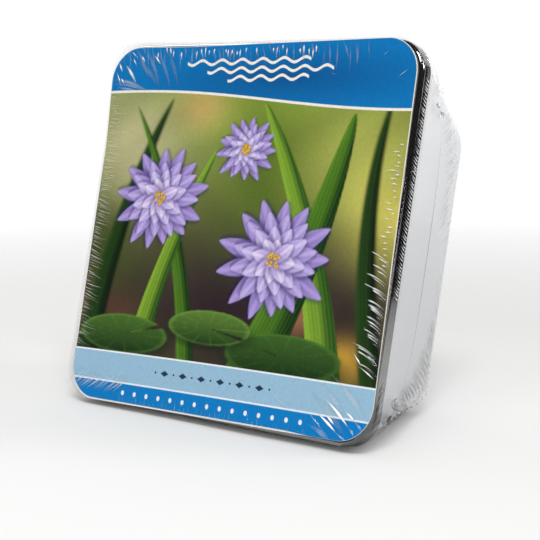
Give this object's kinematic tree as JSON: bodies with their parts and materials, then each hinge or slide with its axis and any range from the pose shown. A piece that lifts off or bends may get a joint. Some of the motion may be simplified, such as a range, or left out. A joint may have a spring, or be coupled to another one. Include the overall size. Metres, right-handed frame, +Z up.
{
  "type": "shrink-wrapped plant tub",
  "caption": "Square tapered tub with a pressed metal lid and a printed card on the lid, shrink-wrapped in clear film and lying on one side so that its face leans back.",
  "frame": {"origin": "middle of the footprint's box, on the surface that the pack lies on", "axes": "+X to the right along the lid's width, -Y out of the leaning face, +Z up"},
  "size_m": [0.192, 0.1252, 0.1878],
  "materials": {
    "tub": "moulded white plastic, smooth satin",
    "lid": "pressed tinplate, polished on the shoulder, fine haze on the skirt",
    "card": null,
    "film": "clear shrink film, glossy, puckered along the edges and gathered at the corners"
  },
  "bodies": {
    "root": {"tub": "tub", "lid": "lid", "label_card": "card", "shrink_film": "film"}
  },
  "joints": []
}
